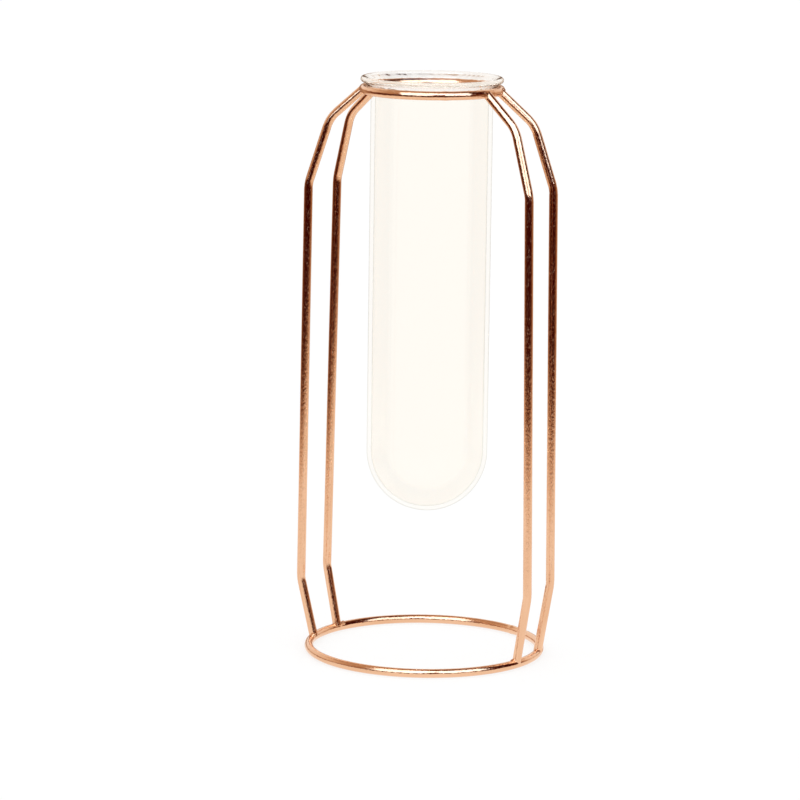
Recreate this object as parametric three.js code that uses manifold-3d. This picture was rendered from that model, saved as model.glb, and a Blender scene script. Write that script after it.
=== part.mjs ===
// A bud vase: a glass test tube with a flared lip that hangs in a stand of bent and welded wire.
// Millimetres, +Z up. The origin is the middle of the base ring, on the surface that it stands on.
// The legs stand in two pairs, one on +X and one on -X, and -Y is the front.

import * as THREE from "three";
import { mergeVertices } from "three/addons/utils/BufferGeometryUtils.js";
import Module from "manifold-3d";

// Overall sizes
const HEIGHT = 240; // surface to the top of the lip
const BASE_DIAMETER = 100; // over the outside of the base ring
const WIRE_DIAMETER = 3.6;

// Glass tube
const TUBE_LENGTH = 180;
const TUBE_DIAMETER = 50;
const GLASS_WALL = 1.8;
const LIP_THICKNESS = 2.3; // the fire-polished edge is a little thicker than the wall
const LIP_OVERHANG = 1.25; // how far the lip reaches past the middle of the top ring's wire
const FLARE_RADIUS = 6; // underside of the flare, which sits on the top ring

// How the pieces fit
const NECK_CLEARANCE = 1.2; // between the tube and the inside of the top ring
const SEAT_GAP = 0.3; // between the flare and the wire that carries it
const JOINT_GAP = 0.3; // between a leg's end, its weld and the ring
const WELD_SIZE = 0.9; // how far a weld bead swells from the wire

// Legs: each is one wire with three bends, and leans between the two rings
const PAIR_HALF_ANGLE = THREE.MathUtils.degToRad(13); // from a pair's middle to each of its legs
const LOW_BEND_HEIGHT = 30;
const LOW_BEND_FLARE = 5; // outwards from the base ring's wire
const SHOULDER_FLARE = 2.7; // outwards from the base ring's wire
const SHOULDER_DROP = 39.8; // below the top ring
const NECK_FLARE = 14.75; // outwards from the top ring's wire
const NECK_DROP = 13.2; // below the top ring
const BEND_RADIUS = 14;

// Smoothness
const WIRE_SIDES = 16; // the polygon has a flat side underneath, which is the face that stands
const BASE_SEGMENTS = 90;
const TOP_SEGMENTS = 60;
const TUBE_SEGMENTS = 48;
const ARC_STEPS = 8;
const BEND_STEPS = 5;
const WELD_SEGMENTS = 16;
const MERGE_DISTANCE = 1e-3; // points closer than this are one point

const wasm = await Module();
wasm.setup();

// Places that the pieces share
const wireRadius = WIRE_DIAMETER / 2;
const tubeRadius = TUBE_DIAMETER / 2;
const lipEdgeRadius = LIP_THICKNESS / 2;
const baseRingRadius = BASE_DIAMETER / 2 - wireRadius;
const topRingRadius = tubeRadius + NECK_CLEARANCE + wireRadius;

// The flare's underside is an arc that leaves the tube wall upright and runs into the lip's round edge.
const lipEdge = new THREE.Vector2(topRingRadius + LIP_OVERHANG - lipEdgeRadius, HEIGHT - lipEdgeRadius);
const flareCentre = arcCentre(tubeRadius + FLARE_RADIUS, lipEdge, FLARE_RADIUS + lipEdgeRadius);

// The top ring lies inside the curve of the flare, one seat gap away from it.
const seatReach = FLARE_RADIUS - wireRadius - SEAT_GAP;
const seatRise = Math.sqrt(seatReach ** 2 - (flareCentre.x - topRingRadius) ** 2);
const topRingHeight = flareCentre.y + seatRise;

// Corners of a leg in its own upright plane, from the wire of the base ring to the wire of the top ring.
const legCorners = [
  new THREE.Vector3(baseRingRadius, 0, wireRadius),
  new THREE.Vector3(baseRingRadius + LOW_BEND_FLARE, 0, LOW_BEND_HEIGHT),
  new THREE.Vector3(baseRingRadius + SHOULDER_FLARE, 0, topRingHeight - SHOULDER_DROP),
  new THREE.Vector3(topRingRadius + NECK_FLARE, 0, topRingHeight - NECK_DROP),
  new THREE.Vector3(topRingRadius, 0, topRingHeight),
];

const copper = new THREE.MeshStandardMaterial({ color: 0xe6ae88, roughness: 0.22, metalness: 1 });
const weldMetal = new THREE.MeshStandardMaterial({ color: 0xd9a07a, roughness: 0.4, metalness: 1 });
const clearGlass = new THREE.MeshStandardMaterial({
  color: 0xfbfaf6,
  roughness: 0.03,
  metalness: 0,
  transparent: true,
  opacity: 0.25,
});

// Centre of an arc that lies on the upright line x, below a point and at a given distance from it.
function arcCentre(x, point, distance) {
  return new THREE.Vector2(x, point.y - Math.sqrt(distance ** 2 - (x - point.x) ** 2));
}

// Points along an arc in a profile, both ends included.
function arcPoints(centre, radius, from, to) {
  const points = [];
  for (let i = 0; i <= ARC_STEPS; i++) {
    const angle = from + ((to - from) * i) / ARC_STEPS;
    points.push(new THREE.Vector2(centre.x + radius * Math.cos(angle), centre.y + radius * Math.sin(angle)));
  }
  return points;
}

// A profile of radius and height, turned round the Z axis.
function revolve(profile, segments) {
  return new THREE.LatheGeometry(profile, segments).rotateX(Math.PI / 2);
}

// Section of a wire: a polygon whose flats are one wire radius from its middle.
function wireSection(radius) {
  const corner = radius / Math.cos(Math.PI / WIRE_SIDES);
  return Array.from({ length: WIRE_SIDES }, (_, i) => {
    const angle = ((i + 0.5) * 2 * Math.PI) / WIRE_SIDES;
    return new THREE.Vector2(corner * Math.cos(angle), corner * Math.sin(angle));
  });
}

// A closed ring of wire round the Z axis.
function wireRing(ringRadius, height, radius, segments) {
  const centre = new THREE.Vector2(ringRadius, height);
  const profile = wireSection(radius).map((point) => point.add(centre));
  return revolve([...profile, profile[0]], segments);
}

// The path of a wire that is bent to one radius at its inner corners. It has stations at its ends and
// along each bend, and none on the straight runs between them.
class BentWirePath extends THREE.Curve {
  constructor(corners) {
    super();
    this.stations = [corners[0]];
    for (let i = 1; i < corners.length - 1; i++) {
      const into = corners[i].clone().sub(corners[i - 1]).normalize();
      const away = corners[i + 1].clone().sub(corners[i]).normalize();
      const turn = into.angleTo(away);
      const axis = into.clone().cross(away).normalize();
      const start = corners[i].clone().addScaledVector(into, -BEND_RADIUS * Math.tan(turn / 2));
      const spoke = into.clone().cross(axis).multiplyScalar(BEND_RADIUS);
      const centre = start.clone().sub(spoke);
      for (let step = 0; step <= BEND_STEPS; step++) {
        const turned = spoke.clone().applyAxisAngle(axis, (turn * step) / BEND_STEPS);
        this.stations.push(turned.add(centre));
      }
    }
    this.stations.push(corners[corners.length - 1]);
  }

  get steps() {
    return this.stations.length - 1;
  }

  // Equal shares of the path go from station to station, and not by length.
  getUtoTmapping(share) {
    return share;
  }

  getPoint(share, target = new THREE.Vector3()) {
    const place = share * this.steps;
    const index = Math.min(Math.floor(place), this.steps - 1);
    return target.lerpVectors(this.stations[index], this.stations[index + 1], place - index);
  }
}

function wireAlong(path, radius) {
  return new THREE.ExtrudeGeometry(new THREE.Shape(wireSection(radius)), {
    extrudePath: path,
    steps: path.steps,
  });
}

function solidOf(geometry) {
  const bare = geometry.clone().deleteAttribute("normal").deleteAttribute("uv");
  const merged = mergeVertices(bare, MERGE_DISTANCE);
  return new wasm.Manifold(
    new wasm.Mesh({
      numProp: 3,
      vertProperties: new Float32Array(merged.attributes.position.array),
      triVerts: new Uint32Array(merged.index.array),
    }),
  );
}

function geometryOf(solid) {
  const mesh = solid.getMesh();
  const geometry = new THREE.BufferGeometry();
  geometry.setAttribute("position", new THREE.BufferAttribute(mesh.vertProperties, 3));
  geometry.setIndex(new THREE.BufferAttribute(mesh.triVerts, 1));
  geometry.computeVertexNormals();
  return geometry;
}

function cut(geometry, cutters) {
  const left = cutters.reduce((solid, cutter) => solid.subtract(solidOf(cutter)), solidOf(geometry));
  return geometryOf(left);
}

// The tube's profile runs up the outside from the bottom, round the lip and down the inside.
function tubeGeometry() {
  const boreRadius = tubeRadius - GLASS_WALL;
  const mouthRadius = FLARE_RADIUS + GLASS_WALL;
  const mouthCentre = arcCentre(boreRadius + mouthRadius, lipEdge, mouthRadius - lipEdgeRadius);
  const bottomCentre = new THREE.Vector2(0, HEIGHT - TUBE_LENGTH + tubeRadius);
  const flareEnd = lipEdge.clone().sub(flareCentre).angle();
  const mouthStart = lipEdge.clone().sub(mouthCentre).angle();
  const profile = [
    ...arcPoints(bottomCentre, tubeRadius, -Math.PI / 2, 0),
    ...arcPoints(flareCentre, FLARE_RADIUS, Math.PI, flareEnd),
    ...arcPoints(lipEdge, lipEdgeRadius, flareEnd - Math.PI, mouthStart).slice(1),
    ...arcPoints(mouthCentre, mouthRadius, mouthStart, Math.PI).slice(1),
    ...arcPoints(bottomCentre, boreRadius, 0, -Math.PI / 2),
  ];
  profile[0].x = 0;
  profile[profile.length - 1].x = 0;
  return revolve(profile, TUBE_SEGMENTS);
}

// A bead of weld metal round the end of a leg, where it meets a ring.
function weldBead(end, next, cutters) {
  const along = next.clone().sub(end).normalize();
  const bead = new THREE.TorusGeometry(wireRadius + JOINT_GAP, WELD_SIZE, WIRE_SIDES / 2, WELD_SEGMENTS);
  bead.applyQuaternion(new THREE.Quaternion().setFromUnitVectors(new THREE.Vector3(0, 0, 1), along));
  const place = end.clone().addScaledVector(along, wireRadius + JOINT_GAP);
  bead.translate(place.x, place.y, place.z);
  return cut(bead, cutters);
}

function named(name, geometry, material) {
  const mesh = new THREE.Mesh(geometry, material);
  mesh.name = name;
  return mesh;
}

const legPath = new BentWirePath(legCorners);
const legWithGap = wireAlong(legPath, wireRadius + JOINT_GAP);
const baseWithGap = wireRing(baseRingRadius, wireRadius, wireRadius + JOINT_GAP, BASE_SEGMENTS);
const topWithGap = wireRing(topRingRadius, topRingHeight, wireRadius + JOINT_GAP, TOP_SEGMENTS);

const legGeometry = cut(wireAlong(legPath, wireRadius), [baseWithGap, topWithGap]);
const footWeld = weldBead(legCorners[0], legCorners[1], [legWithGap, baseWithGap]);
const topWeld = weldBead(legCorners.at(-1), legCorners.at(-2), [legWithGap, topWithGap]);

const stand = new THREE.Group();
stand.add(named("base_ring", wireRing(baseRingRadius, wireRadius, wireRadius, BASE_SEGMENTS), copper));
stand.add(named("top_ring", wireRing(topRingRadius, topRingHeight, wireRadius, TOP_SEGMENTS), copper));

const legAngles = {
  front_right: -PAIR_HALF_ANGLE,
  back_right: PAIR_HALF_ANGLE,
  back_left: Math.PI - PAIR_HALF_ANGLE,
  front_left: Math.PI + PAIR_HALF_ANGLE,
};
for (const [corner, angle] of Object.entries(legAngles)) {
  const weldedLeg = new THREE.Group();
  weldedLeg.rotation.z = angle;
  weldedLeg.add(named(`leg_${corner}`, legGeometry, copper));
  weldedLeg.add(named(`weld_foot_${corner}`, footWeld, weldMetal));
  weldedLeg.add(named(`weld_top_${corner}`, topWeld, weldMetal));
  stand.add(weldedLeg);
}

const vase = new THREE.Group();
vase.add(stand);
vase.add(named("glass_tube", tubeGeometry(), clearGlass));

export default vase;
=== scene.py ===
# %% [markdown]
# # A bud vase: a glass tube hung in a stand of copper-plated wire
# The CAD part gives the sizes, the places and the joint. This script gives the looks: it models each piece
# again with the finish that the real one has, and lets it ride on the body that the CAD piece belongs to.
# Lengths are in metres, in the frame of the CAD part, so nothing has to be fitted afterwards.

# %% Load the part
import math

import bpy
from mathutils import Matrix, Quaternion, Vector


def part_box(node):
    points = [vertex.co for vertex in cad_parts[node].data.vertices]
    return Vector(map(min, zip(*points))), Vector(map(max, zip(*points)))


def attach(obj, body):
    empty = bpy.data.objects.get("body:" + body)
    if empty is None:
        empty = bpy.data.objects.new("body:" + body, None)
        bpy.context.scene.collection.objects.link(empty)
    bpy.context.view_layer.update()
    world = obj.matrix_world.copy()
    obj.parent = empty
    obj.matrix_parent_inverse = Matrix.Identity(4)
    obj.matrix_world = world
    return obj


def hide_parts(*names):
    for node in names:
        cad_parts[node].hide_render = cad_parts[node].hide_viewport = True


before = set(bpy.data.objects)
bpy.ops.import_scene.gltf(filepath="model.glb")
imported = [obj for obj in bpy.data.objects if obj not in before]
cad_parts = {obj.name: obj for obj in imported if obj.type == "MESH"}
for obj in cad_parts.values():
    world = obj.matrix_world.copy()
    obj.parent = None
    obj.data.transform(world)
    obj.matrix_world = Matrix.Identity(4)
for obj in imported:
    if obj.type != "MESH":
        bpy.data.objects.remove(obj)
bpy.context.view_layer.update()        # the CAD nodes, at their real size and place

MM = 0.001

# %% [markdown]
# ## The camera
# The picture was taken from about ten degrees above the table, with one pair of legs nearer than the other.
# A long lens from 1.6 metres keeps the upright legs almost parallel, as they are there. The stand leans a
# little in the frame, so the camera is rolled by the same angle instead of bending the stand.

# %% Camera
VIEW_AZIMUTH = math.radians(25.4)  # from -Y towards +X
VIEW_ELEVATION = math.radians(10.1)
VIEW_ROLL = math.radians(0.765)
VIEW_DISTANCE = 1.6
VIEW_LENS = 174.3  # on a sensor of 36, in millimetres
AIM_HEIGHT = 120 * MM
FRAME_SHIFT = Vector((-11.6, -13.75)) * MM  # where the camera aims, right and up from the vase's middle

view_right = Vector((math.cos(VIEW_AZIMUTH), math.sin(VIEW_AZIMUTH), 0))
view_front = Vector((math.sin(VIEW_AZIMUTH), -math.cos(VIEW_AZIMUTH), 0))
view_back = view_front * math.cos(VIEW_ELEVATION) + Vector((0, 0, math.sin(VIEW_ELEVATION)))
view_up = view_back.cross(view_right)

roll = Matrix.Rotation(VIEW_ROLL, 3, view_back)
frame_right, frame_up = roll @ view_right, roll @ view_up
aim = Vector((0, 0, AIM_HEIGHT)) + frame_right * FRAME_SHIFT.x + frame_up * FRAME_SHIFT.y

bpy.ops.object.select_all(action="DESELECT")
bpy.ops.object.camera_add(location=aim + view_back * VIEW_DISTANCE)
camera = bpy.context.object
camera.rotation_euler = Matrix((frame_right, frame_up, view_back)).transposed().to_euler()
camera.data.lens = VIEW_LENS
camera.data.clip_start = 0.1
bpy.context.scene.camera = camera
print("camera at", [round(x, 3) for x in camera.location])

# %% [markdown]
# ## Wire, drawn straight
# The stand is iron wire. A mill pulls it straight through a die, which leaves fine lines along it, and only
# then is it bent and welded. A curve with a round bevel would be quicker, but then no surface pattern could
# follow the wire. So the work goes in the mill's order: a circle is extruded to a straight wire, each face
# corner keeps its place on that straight wire in an attribute, and a Curve modifier bends it later.

# %% A straight wire
WIRE_RADIUS = 1.8 * MM
WIRE_SIDES = 32
coil_used = 0.0  # metres of wire that earlier pieces were cut from


def work_on(piece):
    """Makes one piece the only selected object, and the active one."""
    bpy.ops.object.select_all(action="DESELECT")
    piece.select_set(True)
    bpy.context.view_layer.objects.active = piece


def straight_wire(name, stations):
    """A round wire along X with a loop of vertices at each station, open at its ends."""
    bpy.ops.object.select_all(action="DESELECT")
    bpy.ops.mesh.primitive_circle_add(
        vertices=WIRE_SIDES, radius=WIRE_RADIUS, rotation=(0, math.pi / 2, 0)
    )
    wire = bpy.context.object
    wire.name = wire.data.name = name
    bpy.ops.object.transform_apply(rotation=True)
    bpy.ops.object.mode_set(mode="EDIT")
    bpy.ops.mesh.select_all(action="SELECT")
    for here, there in zip(stations, stations[1:]):
        bpy.ops.mesh.extrude_region_move(TRANSFORM_OT_translate={"value": (there - here, 0, 0)})
    bpy.ops.object.mode_set(mode="OBJECT")
    return wire


def remember_straight(wire, length):
    """Keeps each corner's place on the straight wire, counted along the coil that it is cut from."""
    global coil_used
    places = wire.data.attributes.new("straight", "FLOAT_VECTOR", "CORNER")
    for corner, place in zip(wire.data.loops, places.data):
        place.vector = wire.data.vertices[corner.vertex_index].co + Vector((coil_used, 0, 0))
    coil_used += length


print("wire:", 2 * WIRE_RADIUS / MM, "mm thick,", WIRE_SIDES, "sides")

# %% [markdown]
# ## Bending it
# A bending jig leaves a round corner, and presses the wire slightly flat in it. The line that the wire
# follows is a polyline with a station at each end of a run and along each bend. The same stations are the
# wire's loops of vertices, so every loop lands exactly on the line and the modifier has nothing to guess.

# %% Lines and bends
BEND_RADIUS = 14 * MM
BEND_STEPS = 10
RUN_STEP = 8 * MM


def bent_line(corners):
    """Points along straight runs with a round bend at each inner corner, and the range of each bend."""
    points, bends = [corners[0]], []
    for before, corner, after in zip(corners, corners[1:], corners[2:]):
        into, away = (corner - before).normalized(), (after - corner).normalized()
        turn, axis = into.angle(away), into.cross(away).normalized()
        start = corner - into * BEND_RADIUS * math.tan(turn / 2)
        spoke = into.cross(axis) * BEND_RADIUS
        run = round((start - points[-1]).length / RUN_STEP)
        points += [points[-1].lerp(start, step / run) for step in range(1, run)]
        bends.append((len(points), len(points) + BEND_STEPS))
        for step in range(BEND_STEPS + 1):
            points.append(start - spoke + Quaternion(axis, turn * step / BEND_STEPS) @ spoke)
    return points + [corners[-1]], bends


def stations_of(points):
    """How far along the line each point is."""
    stations = [0.0]
    for here, there in zip(points, points[1:]):
        stations.append(stations[-1] + (there - here).length)
    return stations


def resize_where(piece, test, factors):
    """Scales those vertices about the origin whose place passes the test."""
    work_on(piece)
    bpy.ops.object.mode_set(mode="EDIT")
    bpy.ops.mesh.select_mode(type="VERT")
    bpy.ops.mesh.select_all(action="DESELECT")
    bpy.ops.object.mode_set(mode="OBJECT")
    for vertex in piece.data.vertices:
        vertex.select = test(vertex.co)
    bpy.ops.object.mode_set(mode="EDIT")
    bpy.ops.transform.resize(value=factors, center_override=(0, 0, 0))
    bpy.ops.object.mode_set(mode="OBJECT")


def bend_along(wire, points, closed=False):
    """Bends a straight wire along a line of points."""
    line = bpy.data.curves.new("bend_line", "CURVE")
    line.dimensions = "3D"
    spline = line.splines.new("POLY")
    spline.points.add(len(points) - 1)
    for place, point in zip(spline.points, points):
        place.co = (*point, 1)
    spline.use_cyclic_u = closed
    guide = bpy.data.objects.new("bend_line", line)
    bpy.context.scene.collection.objects.link(guide)
    bend = wire.modifiers.new("bend", "CURVE")
    bend.object = guide
    work_on(wire)
    bpy.ops.object.modifier_apply(modifier=bend.name)
    bpy.data.objects.remove(guide)


print("bends: radius", BEND_RADIUS / MM, "mm in", BEND_STEPS, "steps")

# %% [markdown]
# ## The legs
# Each leg is one wire with three bends: it leans out from the base, turns upright, turns in at the shoulder
# and further in at the neck, and ends at the upper hoop. One leg could be made and copied three times, and
# all four do follow one drawing. But they are bent and set by hand, so the foot, the lower bend and the
# shoulder of each sit a little off it. That is too little to see as a shape, but it shows: a polished wire
# that leans one degree more mirrors another part of the room. So each leg is bent along a line of its own.
# They are cut from one coil, one after another, so no two show the same drawing lines.

# %% Lines of the legs
BASE_HOOP_RADIUS = 48.2 * MM
TOP_HOOP_RADIUS = 28 * MM
TOP_HOOP_HEIGHT = sum(corner.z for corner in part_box("top_ring")) / 2
# the drawing: foot, lower bend, shoulder, neck and top end
LEG_CORNERS = [
    Vector((BASE_HOOP_RADIUS, 0, WIRE_RADIUS)),
    Vector((BASE_HOOP_RADIUS + 5 * MM, 0, 30 * MM)),
    Vector((BASE_HOOP_RADIUS + 2.7 * MM, 0, TOP_HOOP_HEIGHT - 39.8 * MM)),
    Vector((TOP_HOOP_RADIUS + 14.75 * MM, 0, TOP_HOOP_HEIGHT - 13.2 * MM)),
    Vector((TOP_HOOP_RADIUS, 0, TOP_HOOP_HEIGHT)),
]
LEG_ANGLES = {
    "front_right": math.radians(-13),
    "back_right": math.radians(13),
    "back_left": math.radians(167),
    "front_left": math.radians(193),
}
# how far foot, lower bend and shoulder are off the drawing: outwards, sideways and up, in millimetres
SET_BY_HAND = {
    "front_right": ((0, 0, 0), (0, 0, 0.4), (0.3, -1.2, 0)),
    "back_right": ((0, 0, 0), (-0.2, 0, 1.6), (0.1, 0.7, 0.6)),
    "back_left": ((-0.8, -0.4, 0.9), (-0.2, 0, -1.4), (-0.5, -1, -1)),
    "front_left": ((-1, 1, 0.9), (0, 0, -2.4), (0.4, 1, -0.7)),
}


def own_corners(corner):
    """The corners of one leg as it was bent, before it is turned to its place on the hoops."""
    places = [place.copy() for place in LEG_CORNERS]
    for place, slip in zip(places, SET_BY_HAND[corner]):
        place += Vector(slip) * MM
    return places


print("drawing of a leg:", [[round(x / MM, 1) for x in place.xz] for place in LEG_CORNERS], "mm")

# %% Four legs
PRESSED = (1, 1.015, 0.965)  # how the jig changes the wire: along it, across it and in the bend's plane
LOOP_REACH = 0.1 * MM  # a vertex this near to a station belongs to its loop
SHARP_ANGLE = math.radians(40)  # the rims of the cut ends are sharper than this, and stay sharp

legs = {}
for corner, angle in LEG_ANGLES.items():
    turn = Matrix.Rotation(angle, 3, "Z")
    line, bends = bent_line([turn @ place for place in own_corners(corner)])
    stations = stations_of(line)
    leg = straight_wire(f"wire_leg_{corner}", stations)
    for first, last in bends:
        start, end = stations[first + 1] - LOOP_REACH, stations[last - 1] + LOOP_REACH
        resize_where(leg, lambda place: start < place.x < end, PRESSED)
    remember_straight(leg, stations[-1])
    bend_along(leg, line)
    bpy.ops.object.mode_set(mode="EDIT")
    bpy.ops.mesh.select_all(action="SELECT")
    bpy.ops.mesh.fill_holes(sides=WIRE_SIDES)
    bpy.ops.mesh.normals_make_consistent(inside=False)
    bpy.ops.object.mode_set(mode="OBJECT")
    bpy.ops.object.shade_smooth_by_angle(angle=SHARP_ANGLE)
    legs[corner] = leg
    print(leg.name, round(stations[-1] / MM, 1), "mm of wire,", len(leg.data.polygons), "faces")

# %% [markdown]
# ## The hoops
# Each hoop is a wire rolled to a circle, with its two ends butt-welded and ground almost flush. What is left
# of the weld is a low ridge round the wire, which catches the light. Spinning a circle would give a ring
# with no ends, so the hoops are bent like the legs, and the ends are merged after the ridge has been
# swelled. Under the base hoop the ridge is ground flat, so that the vase doesn't rock.

# %% Two hoops
SEAM_RINGS = [reach * MM for reach in (0, 0.3, 0.7, 1.2, 2)]  # loops close to the weld
SEAM_SWELLS = ((1.3 * MM, 1.015), (0.8 * MM, 1.02), (0.4 * MM, 1.02))  # reach and growth, step by step
SEAM_CLEAR = 3 * MM  # the even loops keep this far from the weld
BASE_SEAM, TOP_SEAM = math.radians(64), math.radians(-54)  # where round the hoop its ends meet
BASE_LOOPS, TOP_LOOPS = 180, 120
MERGE_DISTANCE = 0.01 * MM


def hoop(name, radius, height, seam_angle, loops):
    """A wire ring round Z, with the weld of its ends at an angle."""
    length = 2 * math.pi * radius
    even = [length * count / loops for count in range(1, loops)]
    inner = [reach for reach in even if SEAM_CLEAR < reach < length - SEAM_CLEAR]
    along = SEAM_RINGS + inner + [length - reach for reach in reversed(SEAM_RINGS[1:])]
    points = []
    for reach in along:
        angle = seam_angle + reach / radius
        points.append(Vector((radius * math.cos(angle), radius * math.sin(angle), height)))
    stations = stations_of(points + points[:1])
    ring = straight_wire(name, stations)
    remember_straight(ring, stations[-1])
    for reach, growth in SEAM_SWELLS:
        resize_where(ring, lambda place: min(place.x, stations[-1] - place.x) < reach, (1, growth, growth))
    bend_along(ring, points, closed=True)
    bpy.ops.object.mode_set(mode="EDIT")
    bpy.ops.mesh.select_all(action="SELECT")
    bpy.ops.mesh.remove_doubles(threshold=MERGE_DISTANCE)
    bpy.ops.mesh.normals_make_consistent(inside=False)
    bpy.ops.object.mode_set(mode="OBJECT")
    bpy.ops.object.shade_smooth()
    return ring


base_hoop = hoop("base_hoop", BASE_HOOP_RADIUS, WIRE_RADIUS, BASE_SEAM, BASE_LOOPS)
top_hoop = hoop("top_hoop", TOP_HOOP_RADIUS, TOP_HOOP_HEIGHT, TOP_SEAM, TOP_LOOPS)
resize_where(base_hoop, lambda place: place.z < 0, (1, 1, 0))
for ring in (base_hoop, top_hoop):
    ring_size = [round(size / MM, 1) for size in ring.dimensions]
    print(ring.name, len(ring.data.polygons), "faces,", ring_size, "mm")

# %% [markdown]
# ## The welds
# The legs are joined to the hoops by a spot of molten metal, which pulls itself into a smooth hollow fillet
# and leaves a drop or two beside it. A bevel can't follow two round wires that meet, so the bead is grown
# instead: a stub of the leg, a stub of the hoop and some drops are joined, remeshed to one skin and smoothed
# until the corner fills. The drops are placed from the hoop, because a foot may be set a little off it.

# %% One bead
STUB_RADIUS = WIRE_RADIUS - 0.08 * MM  # just under the wire's own skin, so only fillet and drops stand out
LEG_STUB = 3.6 * MM
HOOP_STUB = 7 * MM
BEAD_VOXEL = 0.2 * MM
BEAD_SMOOTHING = 24
RIPPLE_SIZE = 0.9 * MM
RIPPLE_DEPTH = 0.1 * MM

ripple = bpy.data.textures.new("weld_ripple", "CLOUDS")
ripple.noise_scale = RIPPLE_SIZE
print("ripple:", RIPPLE_DEPTH / MM, "mm deep on a skin of", BEAD_VOXEL / MM, "mm voxels")


def apply_modifier(piece, kind, **settings):
    """Adds a modifier with its settings, and applies it."""
    modifier = piece.modifiers.new(kind.lower(), kind)
    for setting, value in settings.items():
        setattr(modifier, setting, value)
    work_on(piece)
    bpy.ops.object.modifier_apply(modifier=modifier.name)


def bead(name, end, along, seat, drops, angle):
    """A weld bead between a leg's end and its seat on a hoop, turned to the leg's angle.

    Drops are given as their size, and their place outwards, sideways and up from the hoop, in millimetres.
    """
    on_hoop = Vector((seat.x, end.y, seat.z))
    along_leg = along.to_track_quat("Z", "Y").to_euler()
    along_hoop = (math.pi / 2, 0, 0)
    bpy.ops.object.select_all(action="DESELECT")
    bpy.ops.mesh.primitive_cylinder_add(
        radius=STUB_RADIUS, depth=LEG_STUB, location=end + along * LEG_STUB / 2, rotation=along_leg
    )
    shapes = [bpy.context.object]
    bpy.ops.mesh.primitive_cylinder_add(
        radius=STUB_RADIUS, depth=HOOP_STUB, location=on_hoop, rotation=along_hoop
    )
    shapes.append(bpy.context.object)
    for size, *place in drops:
        bpy.ops.mesh.primitive_ico_sphere_add(
            subdivisions=3, radius=size * MM, location=on_hoop + Vector(place) * MM
        )
        shapes.append(bpy.context.object)
    for shape in shapes:
        shape.select_set(True)
    bpy.context.view_layer.objects.active = shapes[0]
    bpy.ops.object.join()
    piece = bpy.context.object
    piece.name = piece.data.name = name
    bpy.ops.object.transform_apply(location=True, rotation=True)
    apply_modifier(piece, "REMESH", mode="VOXEL", voxel_size=BEAD_VOXEL)
    apply_modifier(piece, "SMOOTH", factor=0.5, iterations=BEAD_SMOOTHING)
    apply_modifier(piece, "DISPLACE", texture=ripple, strength=RIPPLE_DEPTH, mid_level=0.5)
    piece.rotation_euler.z = angle
    bpy.ops.object.transform_apply(rotation=True)
    bpy.ops.object.shade_smooth()
    return piece


# %% Eight beads
FOOT_DROPS = {
    "front_right": [(1.2, -0.3, -2.1, 1.2)],
    "back_right": [(1.3, 1.1, 0.4, 1.3)],
    "back_left": [(1.2, -1.2, -1.7, 1.4), (1.1, -1.1, -3.6, 1.4)],
    "front_left": [(1.1, -1.2, 1.6, 1.8)],
}
NECK_DROPS = {
    "front_right": [(1.1, 0.9, -1.6, -0.6)],
    "back_right": [(1.0, 1.5, 0.3, 0.6)],
    "back_left": [(1.0, 1.0, 1.4, -0.5)],
    "front_left": [(1.1, 1.2, 1.2, -0.3)],
}

foot_beads, neck_beads = {}, {}
foot_seat, *_, neck_seat = LEG_CORNERS
for corner, angle in LEG_ANGLES.items():
    foot, knee, *_, neck, top = own_corners(corner)
    foot_along, neck_along = (knee - foot).normalized(), (neck - top).normalized()
    foot_beads[corner] = bead(
        f"foot_bead_{corner}", foot, foot_along, foot_seat, FOOT_DROPS[corner], angle
    )
    neck_beads[corner] = bead(
        f"neck_bead_{corner}", top, neck_along, neck_seat, NECK_DROPS[corner], angle
    )
beads = [*foot_beads.values(), *neck_beads.values()]
print("beads:", [len(piece.data.polygons) for piece in beads], "faces")

# %% [markdown]
# ## The glass tube
# The tube is blown from a length of glass pipe: one end is melted to a round bottom, the other is flared on
# a cone and fire-polished, which rounds its edge. It is a turned shape, so one vertex draws the section of
# the wall, by extruding where it is straight and spinning where it is round, and a full spin makes the tube.

# %% Section of the glass
TUBE_RADIUS = 25 * MM
BORE_RADIUS = 23.2 * MM
TUBE_TOP = 240 * MM
TUBE_LENGTH = 180 * MM
FLARE_RADIUS = 6 * MM
MOUTH_RADIUS = FLARE_RADIUS + TUBE_RADIUS - BORE_RADIUS
LIP_RADIUS = 1.15 * MM
LIP_CENTRE = Vector((28.1 * MM, 0, TUBE_TOP - LIP_RADIUS))
BOTTOM_CENTRE = Vector((0, 0, TUBE_TOP - TUBE_LENGTH + TUBE_RADIUS))


def centre_below_lip(x, distance):
    """The centre of an arc that runs into the lip: at a radius x, and this far from the lip's centre."""
    return Vector((x, 0, LIP_CENTRE.z - math.sqrt(distance**2 - (x - LIP_CENTRE.x) ** 2)))


def slope(direction):
    return math.atan2(direction.z, direction.x)


flare_centre = centre_below_lip(TUBE_RADIUS + FLARE_RADIUS, FLARE_RADIUS + LIP_RADIUS)
mouth_centre = centre_below_lip(BORE_RADIUS + MOUTH_RADIUS, MOUTH_RADIUS - LIP_RADIUS)
flare_end = slope(LIP_CENTRE - flare_centre)
mouth_start = slope(LIP_CENTRE - mouth_centre)
print("flare: centre", [round(x / MM, 2) for x in flare_centre], "mm")

# %% Draw and spin it
BOTTOM_STEPS, LIP_STEPS, TURN_STEPS = 28, 16, 160


def arc(centre, turn, steps):
    """Goes on from the selected vertex round a centre, by an angle that counts from X towards Z."""
    bpy.ops.mesh.spin(steps=steps, angle=turn, center=centre, axis=(0, 1, 0))


def run(distance):
    """Goes straight on from the selected vertex, up or down."""
    bpy.ops.mesh.extrude_region_move(TRANSFORM_OT_translate={"value": (0, 0, distance)})


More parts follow.
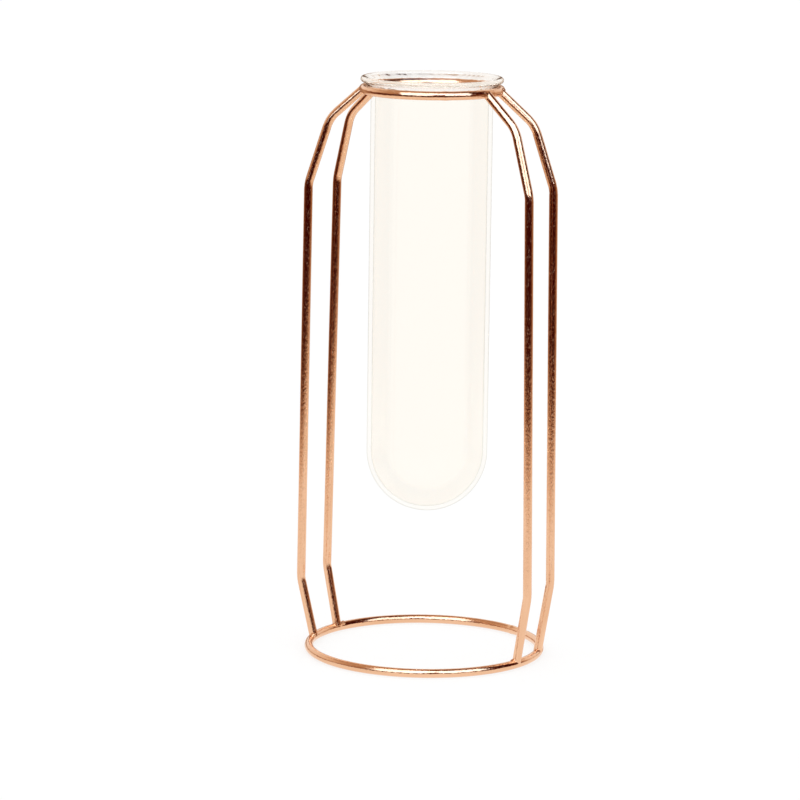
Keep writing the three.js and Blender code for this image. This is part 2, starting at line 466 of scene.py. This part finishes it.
bpy.ops.object.select_all(action="DESELECT")
bpy.ops.mesh.primitive_plane_add(size=MM, location=(0, 0, TUBE_TOP - TUBE_LENGTH))
blown_tube = bpy.context.object
blown_tube.name = blown_tube.data.name = "blown_tube"
bpy.ops.object.transform_apply(location=True)
bpy.ops.object.mode_set(mode="EDIT")
bpy.ops.mesh.select_all(action="SELECT")
bpy.ops.mesh.merge(type="CENTER")
arc(BOTTOM_CENTRE, math.pi / 2, BOTTOM_STEPS)
run(flare_centre.z - BOTTOM_CENTRE.z)
arc(flare_centre, flare_end - math.pi, LIP_STEPS)
arc(LIP_CENTRE, mouth_start - (flare_end - math.pi), LIP_STEPS)
arc(mouth_centre, math.pi - mouth_start, LIP_STEPS)
run(BOTTOM_CENTRE.z - mouth_centre.z)
arc(BOTTOM_CENTRE, -math.pi / 2, BOTTOM_STEPS)
bpy.ops.mesh.select_all(action="SELECT")
bpy.ops.mesh.spin(steps=TURN_STEPS, angle=2 * math.pi, center=(0, 0, 0), axis=(0, 0, 1))
bpy.ops.mesh.select_all(action="SELECT")
bpy.ops.mesh.remove_doubles(threshold=MERGE_DISTANCE)
bpy.ops.mesh.normals_make_consistent(inside=False)
bpy.ops.object.mode_set(mode="OBJECT")
bpy.ops.object.shade_smooth()
tube_size = [round(size / MM, 1) for size in blown_tube.dimensions]
print("tube:", len(blown_tube.data.polygons), "faces,", tube_size, "mm")

# %% [markdown]
# ## Tools for the finishes
# Colours are written as the sRGB values that a colour picker shows, and one function turns them to the
# linear values that shaders work in. Another adds a node with its settings and its links in one line. Where
# a node has several sockets of one name, a socket is given by its number, counted from the top.

# %% Colour and nodes
def linear(hex_colour):
    """The linear colour, with alpha, of an sRGB colour such as #808080."""
    channels = [int(hex_colour[place : place + 2], 16) / 255 for place in (1, 3, 5)]
    return (*[c / 12.92 if c <= 0.04045 else ((c + 0.055) / 1.055) ** 2.4 for c in channels], 1)


def add_node(tree, kind, inputs=None, stops=(), **settings):
    """Adds a node. An input is a value, or the output socket of another node to link it to.

    A colour ramp also has stops: pairs of a place from 0 to 1 and a linear colour.
    """
    node = tree.nodes.new("ShaderNode" + kind)
    for setting, value in settings.items():
        setattr(node, setting, value)
    for name, value in (inputs or {}).items():
        if isinstance(value, bpy.types.NodeSocket):
            tree.links.new(value, node.inputs[name])
        else:
            node.inputs[name].default_value = value
    if stops:
        ramp = node.color_ramp.elements
        ramp[0].position, ramp[0].color = stops[0]
        ramp[1].position, ramp[1].color = stops[-1]
        for place, colour in stops[1:-1]:
            ramp.new(place).color = colour
    return node


def new_material(name):
    """An empty material, its node tree and its output node."""
    material = bpy.data.materials.new(name)
    material.use_nodes = True
    material.node_tree.nodes.clear()
    return material, material.node_tree, add_node(material.node_tree, "OutputMaterial")


print("a mid grey of #808080 sends back", round(linear("#808080")[0], 3), "of the light")

# %% [markdown]
# ## Finish: copper-plated drawn iron wire
# The wire is plated with copper and a thin pale flash over it, which gives rose gold. Plating is thin, so
# the drawing lines of the iron still show: fine grooves along the wire, and short pits where scale was
# pulled out. They are too small to see one by one, but they break a reflection into specks and streaks
# along the wire.

# %% Plated wire
LINE_WIDTH, LINE_LENGTH = 0.3 * MM, 14 * MM  # real lines are under 0.05 mm wide: coarser here, to show
PIT_WIDTH, PIT_LENGTH = 0.45 * MM, 1.2 * MM  # real pits are half as large: coarser for the same reason
TONE_WIDTH, TONE_LENGTH = 3 * MM, 22 * MM  # the plating's shade changes slowly along the wire
LINE_DEPTH, PIT_DEPTH = 0.02 * MM, 0.05 * MM
PIT_EDGE = (0.47, 0.73)  # of the noise: up to the first the plating is whole, from the second it is a pit
BRIGHT, PITTED = 0.08, 0.29  # roughness of whole plating and of a pit
PLATING_TONES = ((0.3, linear("#ECBE9A")), (0.7, linear("#F5CBAA")))

plated_wire, tree, out = new_material("copper_plated_drawn_wire")
place = add_node(tree, "Attribute", attribute_name="straight").outputs["Vector"]


def noise_along(length, width, detail):
    """Noise that is stretched along the straight wire, with spots of about this length and width."""
    scale = (1 / length, 1 / width, 1 / width)
    stretched = add_node(tree, "Mapping", {"Vector": place, "Scale": scale}).outputs["Vector"]
    return add_node(tree, "TexNoise", {"Vector": stretched, "Scale": 1, "Detail": detail}).outputs["Fac"]


lines = noise_along(LINE_LENGTH, LINE_WIDTH, 2)
pits = noise_along(PIT_LENGTH, PIT_WIDTH, 3)
tones = noise_along(TONE_LENGTH, TONE_WIDTH, 2)
colour = add_node(tree, "ValToRGB", {"Fac": tones}, PLATING_TONES)
pitted = {"Value": pits, 1: PIT_EDGE[0], 2: PIT_EDGE[1], 3: BRIGHT, 4: PITTED}
gloss = add_node(tree, "MapRange", pitted)
groove = add_node(tree, "Bump", {"Height": lines, "Distance": LINE_DEPTH}).outputs["Normal"]
dent = add_node(tree, "Bump", {"Height": pits, "Distance": PIT_DEPTH, "Normal": groove})
metal = add_node(
    tree,
    "BsdfPrincipled",
    {
        "Base Color": colour.outputs["Color"],
        "Metallic": 1,
        "Roughness": gloss.outputs["Result"],
        "Normal": dent.outputs["Normal"],
    },
)
tree.links.new(metal.outputs["BSDF"], out.inputs["Surface"])
print("finish:", plated_wire.name)

# %% [markdown]
# ## Finish: plated weld metal
# A bead froze from the melt, so it has no drawing lines. Its skin is rippled and slightly oxidised under the
# plating, which makes it duller and a little redder than the wire.

# %% Plated weld
SKIN_SIZE, SKIN_DEPTH = 0.6 * MM, 0.04 * MM  # the ripples of the frozen melt
SKIN_BRIGHT, SKIN_DULL = 0.18, 0.36  # roughness on a ripple and between ripples
SKIN_TONES = ((0.35, linear("#D69C72")), (0.65, linear("#EFC09A")))

plated_weld, tree, out = new_material("copper_plated_weld_metal")
place = add_node(tree, "TexCoord").outputs["Object"]
skin = add_node(tree, "TexNoise", {"Vector": place, "Scale": 1 / SKIN_SIZE, "Detail": 4}).outputs["Fac"]
colour = add_node(tree, "ValToRGB", {"Fac": skin}, SKIN_TONES)
gloss = add_node(tree, "MapRange", {"Value": skin, 3: SKIN_BRIGHT, 4: SKIN_DULL})
dent = add_node(tree, "Bump", {"Height": skin, "Distance": SKIN_DEPTH})
metal = add_node(
    tree,
    "BsdfPrincipled",
    {
        "Base Color": colour.outputs["Color"],
        "Metallic": 1,
        "Roughness": gloss.outputs["Result"],
        "Normal": dent.outputs["Normal"],
    },
)
tree.links.new(metal.outputs["BSDF"], out.inputs["Surface"])
print("finish:", plated_weld.name)

# %% [markdown]
# ## Finish: clear blown glass
# Thin clear glass shows mostly where the eye looks along it: there it looks through many millimetres, and
# the faint green of the melt turns to a grey-green line. Two such lines mark the outside and the inside of
# the wall. A wall this thin hardly bends what is behind it, so it is mostly a clear film, with a small share
# of real glass for the gloss. The flare and the lip are thicker and curved, so they are real glass and bend
# what they show. Lamps would cast a black shadow behind real glass, so for shadow rays it is all film.

# %% Clear glass
WAVE_SIZE, WAVE_DEPTH = 14 * MM, 0.05 * MM  # blowing leaves the surface slightly wavy
LUMP_SIZE, LUMP_DEPTH = 3.5 * MM, 0.15 * MM  # and melting the lip round leaves it uneven
LIP_BAND = (232 * MM, 236 * MM)  # heights between which the wall turns to the flare
WALL_CLEAR, LIP_CLEAR, EDGE_CLEAR = 0.97, 0, 0.8  # share of clear film: on the wall, in the flare, at edges
GLOSS_EDGE = 0.86  # how far off a straight look that share begins to change to the one at edges
WALL_EDGE, LIP_EDGE = 0.8, 0.66  # how far off a straight look the colour of an edge begins
WALL_LINE, LIP_LINE = 0.32, 0.5  # and how strong it gets
GLASS_LINE, FILM_LINE = linear("#9AA496"), linear("#B4BCB0")  # that colour, in real glass and in film
MELT_TONES = ((0, linear("#FFFCF8")), (1, linear("#FFFEFB")))
FILM_TONE = linear("#FFFEFC")

clear_glass, tree, out = new_material("clear_blown_glass")
place = add_node(tree, "TexCoord").outputs["Object"]
height = add_node(tree, "SeparateXYZ", {0: place}).outputs["Z"]
facing = add_node(tree, "LayerWeight", {"Blend": 0.5}).outputs["Facing"]


def wall_to_lip(on_wall, in_lip):
    """A value on the wall that changes to another one in the flare."""
    band = {"Value": height, 1: LIP_BAND[0], 2: LIP_BAND[1], 3: on_wall, 4: in_lip}
    return add_node(tree, "MapRange", band).outputs["Result"]


waves = add_node(tree, "TexNoise", {"Vector": place, "Scale": 1 / WAVE_SIZE, "Detail": 1}).outputs["Fac"]
wavy = add_node(tree, "Bump", {"Height": waves, "Distance": WAVE_DEPTH}).outputs["Normal"]
lumps = add_node(tree, "TexNoise", {"Vector": place, "Scale": 1 / LUMP_SIZE, "Detail": 1}).outputs["Fac"]
lumpy = {"Height": lumps, "Distance": LUMP_DEPTH, "Strength": wall_to_lip(0, 1), "Normal": wavy}
uneven = add_node(tree, "Bump", lumpy).outputs["Normal"]
melt = add_node(tree, "ValToRGB", {"Fac": waves}, MELT_TONES).outputs["Color"]
line_start, line_strength = wall_to_lip(WALL_EDGE, LIP_EDGE), wall_to_lip(WALL_LINE, LIP_LINE)
edge_line = {"Value": facing, 1: line_start, 2: 1, 4: line_strength}
along = add_node(tree, "MapRange", edge_line).outputs["Result"]
glass_colour = add_node(tree, "Mix", {0: along, 6: melt, 7: GLASS_LINE}, data_type="RGBA").outputs[2]
film_colour = add_node(tree, "Mix", {0: along, 6: FILM_TONE, 7: FILM_LINE}, data_type="RGBA").outputs[2]
glass = add_node(
    tree,
    "BsdfPrincipled",
    {
        "Base Color": glass_colour,
        "Roughness": 0,
        "IOR": 1.47,
        "Transmission Weight": 1,
        "Normal": uneven,
    },
)
film = add_node(tree, "BsdfTransparent", {"Color": film_colour}).outputs["BSDF"]
clear = wall_to_lip(WALL_CLEAR, LIP_CLEAR)
film_share = {"Value": facing, 1: GLOSS_EDGE, 2: 1, 3: clear, 4: EDGE_CLEAR}
thin = add_node(tree, "MapRange", film_share).outputs["Result"]
wall = add_node(tree, "MixShader", {0: thin, 1: glass.outputs["BSDF"], 2: film})
lamps = add_node(tree, "LightPath").outputs["Is Shadow Ray"]
lamps_pass = add_node(tree, "MixShader", {0: lamps, 1: wall.outputs["Shader"], 2: film})
tree.links.new(lamps_pass.outputs["Shader"], out.inputs["Surface"])
print("finish:", clear_glass.name)

# %% [markdown]
# ## Putting the pieces on their bodies
# The glass lifts out of the stand, so it rides on the body that slides. All metal rides on the stand. Each
# piece takes the place of one CAD node, which is hidden.

# %% Ride
def dress(piece, material, body, node):
    """Gives a piece its finish, and puts it on a body in the place of a CAD node."""
    piece.data.materials.clear()
    piece.data.materials.append(material)
    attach(piece, body)
    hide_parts(node)


dress(base_hoop, plated_wire, "stand", "base_ring")
dress(top_hoop, plated_wire, "stand", "top_ring")
for corner in LEG_ANGLES:
    dress(legs[corner], plated_wire, "stand", f"leg_{corner}")
    dress(foot_beads[corner], plated_weld, "stand", f"weld_foot_{corner}")
    dress(neck_beads[corner], plated_weld, "stand", f"weld_top_{corner}")
dress(blown_tube, clear_glass, "tube", "glass_tube")

# %% [markdown]
# ## The studio: floor
# The vase stands on a white table. To the camera the floor is plain white, and the light that reaches it
# still draws the vase's shadow. Polished wire is a mirror, and for mirrored rays alone the table isn't lit
# but glows with a painted picture: a painted pool of light near the vase, and farther out painted shade, to
# dark in front and on the left, and to brown on the right and behind. These painted reflections give the
# wire its dark bands.

# %% Floor
FLOOR_SIZE = 8

bpy.ops.object.select_all(action="DESELECT")
bpy.ops.mesh.primitive_plane_add(size=FLOOR_SIZE)
floor = bpy.context.object
floor.name = "floor"
print("floor:", FLOOR_SIZE, "m square")

# %% What the wire mirrors
# painted shade of the far table, which only mirrored rays see, by degrees to the right of the camera's side
FAR_TABLE_SHADE = (
    (-180, 0.7),
    (-158, 0.65),
    (-136, 0.5),
    (-115, 0.75),
    (-100, 0.85),
    (-88, 0.9),
    (-60, 0.97),
    (-35, 1),
    (40, 1),
    (62, 0.9),
    (92, 0.7),
    (115, 0.5),
    (136, 0.4),
    (158, 0.6),
    (180, 0.7),
)
# what light and dark look like there: the dimmer, the redder
ROOM_COLOURS = ((0, "#FDF6F0"), (0.3, "#E8CFB9"), (0.55, "#BA9374"), (0.78, "#79462A"), (1, "#3A0500"))


def seen_in_metal(tree):
    """1 for a ray that was mirrored on its way, 0 for one straight from the camera or through glass."""
    mirrors = add_node(tree, "LightPath").outputs["Glossy Depth"]
    return add_node(tree, "Math", {0: mirrors, 1: 1}, operation="MINIMUM").outputs["Value"]


def dark_round(tree, place, shades):
    """How dark it is in the direction of a place, by degrees to the right of the camera's side."""
    ahead = add_node(tree, "VectorMath", {0: place, 1: view_front}, operation="DOT_PRODUCT").outputs["Value"]
    aside = add_node(tree, "VectorMath", {0: place, 1: view_right}, operation="DOT_PRODUCT").outputs["Value"]
    turn = add_node(tree, "Math", {0: aside, 1: ahead}, operation="ARCTAN2").outputs["Value"]
    share = add_node(tree, "MapRange", {"Value": turn, 1: -math.pi, 2: math.pi}).outputs["Result"]
    greys = [(degrees / 360 + 0.5, (shade, shade, shade, 1)) for degrees, shade in shades]
    return add_node(tree, "ValToRGB", {"Fac": share}, greys).outputs["Color"]


def room_colour(tree, darkness):
    """The colour of the room where it is this dark."""
    colours = [(place, linear(colour)) for place, colour in ROOM_COLOURS]
    return add_node(tree, "ValToRGB", {"Fac": darkness}, colours).outputs["Color"]


print("room: from", ROOM_COLOURS[0][1], "to", ROOM_COLOURS[-1][1])

# %% White table
TABLE_WHITE = linear("#8C8C8C")
TABLE_GLOW = 0.75  # what the table adds to its own light for the camera, so that it shows as white
PAINTED_POOL_CENTRE = view_right * 0.07 - view_front * 0.07  # the middle of the painted pool of light: a little to the right, and behind the vase
PAINTED_POOL_EDGE = (0.3, 0.82)  # where the painted pool of light begins to fade, and where it has faded

white_table, tree, out = new_material("white_table")
place = add_node(tree, "TexCoord").outputs["Object"]
from_pool = add_node(tree, "VectorMath", {0: place, 1: PAINTED_POOL_CENTRE}, operation="DISTANCE")
pool = {"Value": from_pool.outputs["Value"], 1: PAINTED_POOL_EDGE[0], 2: PAINTED_POOL_EDGE[1]}
faded = add_node(tree, "MapRange", pool, interpolation_type="SMOOTHSTEP").outputs["Result"]
far_table_shade = dark_round(tree, place, FAR_TABLE_SHADE)
darkness = add_node(tree, "Math", {0: faded, 1: far_table_shade}, operation="MULTIPLY").outputs["Value"]
# painted reflection: for mirrored rays the table glows with a painted pool of light and painted shade
painted_reflection = add_node(tree, "Emission", {"Color": room_colour(tree, darkness)}).outputs["Emission"]
dull = add_node(tree, "LightPath").outputs["Is Diffuse Ray"]
shown = add_node(tree, "Math", {0: dull, 1: -TABLE_GLOW, 2: TABLE_GLOW}, operation="MULTIPLY_ADD")
glow = add_node(tree, "Emission", {"Strength": shown.outputs["Value"]}).outputs["Emission"]
paper = add_node(tree, "BsdfDiffuse", {"Color": TABLE_WHITE}).outputs["BSDF"]
lit = add_node(tree, "AddShader", {0: glow, 1: paper}).outputs["Shader"]
table = add_node(tree, "MixShader", {0: seen_in_metal(tree), 1: lit, 2: painted_reflection})
tree.links.new(table.outputs["Shader"], out.inputs["Surface"])
white_table.cycles.emission_sampling = "NONE"  # so each ray that meets the glow knows where it came from
floor.data.materials.append(white_table)
print("finish:", white_table.name, "with a pool of light that fades from", *PAINTED_POOL_EDGE, "m")

# %% [markdown]
# ## The studio: backdrop and room
# The world is white to the camera and through the glass. For mirrored rays it is the tent that the vase
# stands in: white behind, tan on the left, and open to a dark room on the right and low in front. Over it is
# the brown ceiling of the room, which draws a thin dark line along the upper edge of the hoops.

# %% World
SKIRT = (4, 10)  # degrees of height over which the tent's wall begins
CEILING = (28, 48)  # and over which the ceiling begins
# how dark the tent's wall is, by degrees to the right of the camera's side
TENT_WALL = (
    (-180, 0),
    (-125, 0.08),
    (-108, 0.3),
    (-88, 0.5),
    (-60, 0.62),
    (-48, 0.75),
    (50, 0.75),
    (68, 0.85),
    (78, 1),
    (102, 1),
    (122, 0.15),
    (140, 0.05),
    (180, 0),
)
# and the ceiling
ROOM_CEILING = (
    (-180, 0.6),
    (-120, 0.5),
    (-60, 0.5),
    (0, 0.65),
    (60, 0.75),
    (90, 0.95),
    (130, 0.95),
    (150, 0.7),
    (180, 0.6),
)
WHITE = (1, 1, 1, 1)

world = bpy.data.worlds.new("studio")
world.use_nodes = True
bpy.context.scene.world = world
tree = world.node_tree
tree.nodes.clear()
out = add_node(tree, "OutputWorld")
direction = add_node(tree, "TexCoord").outputs["Generated"]
height = add_node(tree, "SeparateXYZ", {0: direction}).outputs["Z"]


def above(limits):
    """0 below the first of two heights in degrees, 1 above the second, and smooth between them."""
    low, high = (math.sin(math.radians(limit)) for limit in limits)
    step = add_node(tree, "MapRange", {"Value": height, 1: low, 2: high}, interpolation_type="SMOOTHSTEP")
    return step.outputs["Result"]


far_table_shade = dark_round(tree, direction, FAR_TABLE_SHADE)
tent_wall = dark_round(tree, direction, TENT_WALL)
ceiling = dark_round(tree, direction, ROOM_CEILING)
wall = add_node(tree, "Mix", {0: above(SKIRT), 2: far_table_shade, 3: tent_wall}).outputs[0]
darkness = add_node(tree, "Mix", {0: above(CEILING), 2: wall, 3: ceiling}).outputs[0]
tent = room_colour(tree, darkness)
seen = add_node(tree, "Mix", {0: seen_in_metal(tree), 6: WHITE, 7: tent}, data_type="RGBA").outputs[2]
sky = add_node(tree, "Background", {"Color": seen})
tree.links.new(sky.outputs["Background"], out.inputs["Surface"])
world.cycles.sampling_method = "NONE"  # as on the table
print("world:", world.name)

# %% [markdown]
# ## The studio: lamps
# Two large softboxes hang left and right of the camera. The white room lights the vase evenly, so the lamps
# are there for what the polished wire and the glass show of them: broad bright bands with a thin dark line
# in the gap between the lamps. The camera may go anywhere, so they are hidden from it, and from the table,
# which is white without them.

# %% Softboxes
DAYLIGHT = "#CBE1F3"  # cool, so that a highlight on the warm metal comes out as cream
SOFTBOX_DISTANCE = 1.4
# degrees to the right of the camera's side, degrees up, width and height in metres, and brightness
SOFTBOXES = {
    "softbox_left": (-25, 42, (1.3, 1.75), 2.9),
    "softbox_right": (40, 39, (1.2, 1.35), 2.9),
}


def softbox(name, azimuth, elevation, size, brightness):
    """An area lamp that faces the vase."""
    turn, rise = math.radians(azimuth), math.radians(elevation)
    level = view_front * math.cos(turn) + view_right * math.sin(turn)
    towards = level * math.cos(rise) + Vector((0, 0, math.sin(rise)))
    place = Vector((0, 0, AIM_HEIGHT)) + towards * SOFTBOX_DISTANCE
    facing_it = towards.to_track_quat("Z", "Y").to_euler()
    bpy.ops.object.select_all(action="DESELECT")
    bpy.ops.object.light_add(type="AREA", location=place, rotation=facing_it)
    lamp = bpy.context.object
    lamp.name = name
    lamp.data.shape = "RECTANGLE"
    lamp.data.size, lamp.data.size_y = size
    lamp.data.energy = brightness * math.pi * size[0] * size[1]  # in watts, for the same glow at any size
    lamp.data.color = linear(DAYLIGHT)[:3]
    lamp.visible_camera = False
    lamp.visible_diffuse = False


for name, settings in SOFTBOXES.items():
    softbox(name, *settings)
bpy.context.scene.view_settings.view_transform = "Standard"
